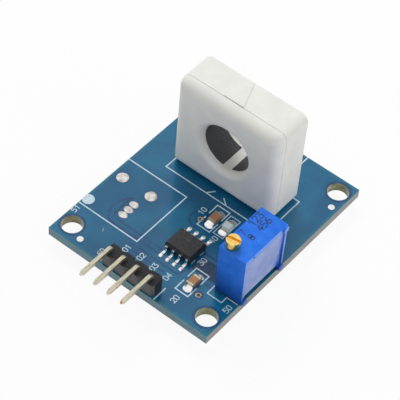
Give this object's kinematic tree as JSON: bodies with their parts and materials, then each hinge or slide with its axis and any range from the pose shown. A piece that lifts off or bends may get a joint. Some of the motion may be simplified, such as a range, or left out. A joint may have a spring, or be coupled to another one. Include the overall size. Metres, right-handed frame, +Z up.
{
  "type": "hall effect current sensor",
  "caption": "Current sensor module: ring sensor with a round wire opening on a small blue circuit board, with comparator, trimmer, lamp and plug header.",
  "frame": {"origin": "centre of the four mounting holes, on the board's underside", "axes": "+X along the board's front edge, +Y from the plug header to the ring sensor and along its bore, +Z up from the board"},
  "size_m": [0.0305, 0.0425, 0.0215],
  "materials": {
    "board_blue": "blue solder mask on glass-fibre laminate",
    "solder": "bright solder",
    "housing_ivory": "fine satin moulding",
    "core_dark": "dull dark ferrite",
    "plastic_black": "black moulding",
    "capacitor_brown": "fired ceramic",
    "lamp_white": "white base plate",
    "lamp_clear": "clear tinted lens",
    "trimmer_blue": "satin blue moulding",
    "seal_lilac": "cast resin",
    "ceramic_white": "ground ceramic",
    "screw_brass": "turned brass",
    "ring_red": "silicone rubber",
    "rotor_white": "moulded",
    "wiper_bronze": "spring bronze",
    "tinned_metal": "tinned, pale gold tone"
  },
  "bodies": {
    "module": {"circuit_board": "board_blue", "spare_pad_solder": "solder", "sensor_cover": "housing_ivory", "sensor_case": "housing_ivory", "flux_core": "core_dark", "hall_chip": "plastic_black", "hall_lead_1": "tinned_metal", "hall_lead_2": "tinned_metal", "hall_lead_3": "tinned_metal", "sensor_post_left": "tinned_metal", "sensor_post_right": "tinned_metal", "sensor_solder": "solder", "header_body": "plastic_black", "header_pin_1": "tinned_metal", "header_pin_2": "tinned_metal", "header_pin_3": "tinned_metal", "header_pin_4": "tinned_metal", "header_solder": "solder", "comparator_body": "plastic_black", "comparator_lead_1": "tinned_metal", "comparator_lead_2": "tinned_metal", "comparator_lead_3": "tinned_metal", "comparator_lead_4": "tinned_metal", "comparator_lead_5": "tinned_metal", "comparator_lead_6": "tinned_metal", "comparator_lead_7": "tinned_metal", "comparator_lead_8": "tinned_metal", "chip_solder": "solder", "capacitor_1_body": "capacitor_brown", "capacitor_1_cap_front": "tinned_metal", "capacitor_1_cap_back": "tinned_metal", "capacitor_2_body": "capacitor_brown", "capacitor_2_cap_front": "tinned_metal", "capacitor_2_cap_back": "tinned_metal", "lamp_base": "lamp_white", "lamp_lens": "lamp_clear", "lamp_terminal_front": "tinned_metal", "lamp_terminal_back": "tinned_metal", "trimmer_housing": "trimmer_blue", "trimmer_seal": "seal_lilac", "trimmer_element": "ceramic_white", "trimmer_terminal_1": "tinned_metal", "trimmer_terminal_2": "tinned_metal", "trimmer_terminal_3": "tinned_metal", "trimmer_solder": "solder"},
    "adjusting_screw": {"trimmer_screw": "screw_brass", "trimmer_o_ring": "ring_red"},
    "rotor": {"trimmer_rotor": "rotor_white", "trimmer_wiper": "wiper_bronze"}
  },
  "joints": [
    {"name": "screw_turn", "type": "hinge", "parent": "module", "child": "adjusting_screw", "pos_m": [0.01175, -0.00978, 0.0062], "axis": [0, 0, 1], "range_deg": [-4500, 4500]},
    {"name": "rotor_turn", "type": "hinge", "parent": "module", "child": "rotor", "pos_m": [0.01175, -0.00573, 0.00665], "axis": [1, 0, 0], "range_deg": [-136.5, 136.5]}
  ],
  "couplings": [
    {"joint": "rotor_turn", "follows": "screw_turn", "ratio": 0.030303}
  ]
}
